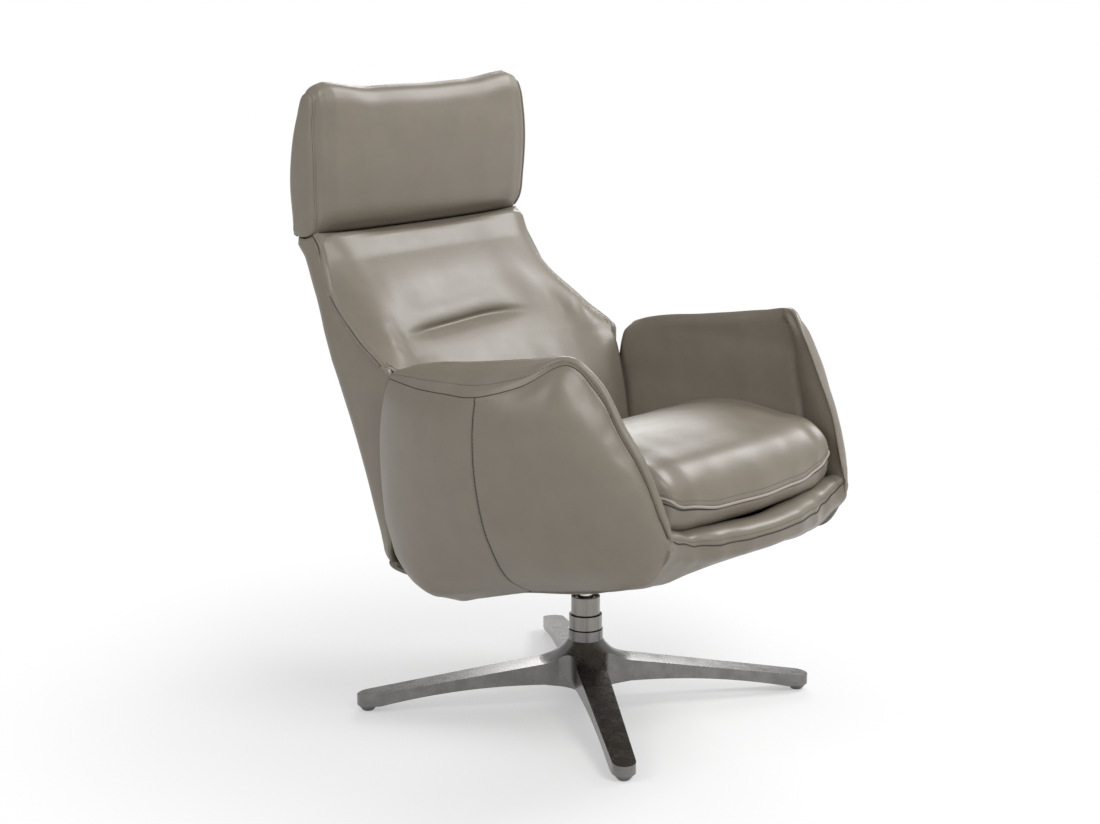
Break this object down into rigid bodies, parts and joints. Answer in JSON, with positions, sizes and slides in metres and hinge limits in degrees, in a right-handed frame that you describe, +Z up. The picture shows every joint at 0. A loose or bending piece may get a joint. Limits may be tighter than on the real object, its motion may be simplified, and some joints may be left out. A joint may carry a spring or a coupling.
{
  "type": "swivel recliner",
  "caption": "Leather tub armchair that swivels on a low metal star base, with a loose seat cushion, a reclining back and a tilting padded headrest.",
  "frame": {"origin": "on the floor, at the swivel axis", "axes": "+Z up along the swivel axis; the sitter faces -Y; +X is the sitter's left"},
  "size_m": [0.7326, 0.811, 1.0198],
  "materials": {
    "taupe_leather": "smooth semi-gloss taupe leather with fine wrinkles",
    "base_metal": "polished dark nickel on cast aluminium",
    "satin_column": "satin grey metal",
    "glide_plastic": "moulded dark grey plastic",
    "black_rubber": "matt black",
    "tube_steel": "drawn tube",
    "bush_plastic": "natural bearing plastic",
    "bright_steel": "bright zinc or ground steel",
    "cage_brass": "plain",
    "chromed_steel": "bright chrome",
    "frame_steel": "black powder coat",
    "black_enamel": "gloss black enamel",
    "webbing": "woven elastic webbing"
  },
  "bodies": {
    "base": {"star_base": "base_metal", "foot_glides": "glide_plastic", "column_tube": "tube_steel", "lower_seal_ring": "black_rubber", "trim_ring": "satin_column", "upper_seal_ring": "black_rubber", "column_sleeve": "satin_column", "lower_bush": "bush_plastic", "upper_bush": "bush_plastic", "lower_race": "bright_steel", "bearing_balls": "bright_steel", "bearing_cage": "cage_brass", "hub_cap": "glide_plastic"},
    "seat": {"upper_race": "bright_steel", "swivel_spindle": "chromed_steel", "retaining_washer": "bright_steel", "retaining_clip": "bright_steel", "mounting_plate": "frame_steel", "plate_bolts": "bright_steel", "front_cross_bar": "frame_steel", "rear_cross_bar": "frame_steel", "side_rail_left": "frame_steel", "side_rail_right": "frame_steel", "front_cross_tube": "frame_steel", "deck_straps": "webbing", "recline_bracket_left": "frame_steel", "recline_bracket_right": "frame_steel", "recline_pins": "bright_steel", "recline_washers": "bush_plastic", "spring_anchor": "frame_steel", "spring_anchor_pin": "bright_steel", "tub_pan": "taupe_leather", "front_lip": "taupe_leather", "arm_shell_left": "taupe_leather", "arm_shell_right": "taupe_leather", "arm_pad_left": "taupe_leather", "arm_pad_right": "taupe_leather", "seat_cushion": "taupe_leather"},
    "back": {"back_plate_left": "frame_steel", "back_plate_right": "frame_steel", "torque_tube": "frame_steel", "lower_back_tube": "frame_steel", "middle_back_tube": "frame_steel", "upper_back_tube": "frame_steel", "headrest_arms": "frame_steel", "spring_lever": "frame_steel", "spring_lever_pin": "bright_steel", "back_shell": "taupe_leather", "back_pad": "taupe_leather"},
    "headrest": {"headrest_pad": "taupe_leather", "headrest_plate": "frame_steel", "headrest_pins": "bright_steel"},
    "gas_cylinder": {"gas_spring_cylinder": "black_enamel"},
    "gas_rod": {"gas_spring_rod": "chromed_steel"}
  },
  "joints": [
    {"name": "swivel", "type": "hinge", "parent": "base", "child": "seat", "pos_m": [0, 0, 0], "axis": [0, 0, 1], "continuous": true},
    {"name": "recline", "type": "hinge", "parent": "seat", "child": "back", "pos_m": [0, 0.12, 0.3], "axis": [-1, 0, 0], "range_deg": [0, 28]},
    {"name": "headrest_tilt", "type": "hinge", "parent": "back", "child": "headrest", "pos_m": [0, 0.405, 0.815], "axis": [1, 0, 0], "range_deg": [-10, 15]},
    {"name": "gas_spring_pivot", "type": "hinge", "parent": "seat", "child": "gas_cylinder", "pos_m": [0.14, -0.036, 0.274], "axis": [1, 0, 0], "range_deg": [0, 3.4]},
    {"name": "gas_spring_stroke", "type": "slide", "parent": "gas_cylinder", "child": "gas_rod", "axis": [0, 0.9868, -0.1622], "range_m": [-0.0245, 0]}
  ],
  "couplings": [
    {"joint": "gas_spring_pivot", "follows": "recline", "ratio": 0.111},
    {"joint": "gas_spring_stroke", "follows": "recline", "m_per_rad": -0.0481}
  ]
}
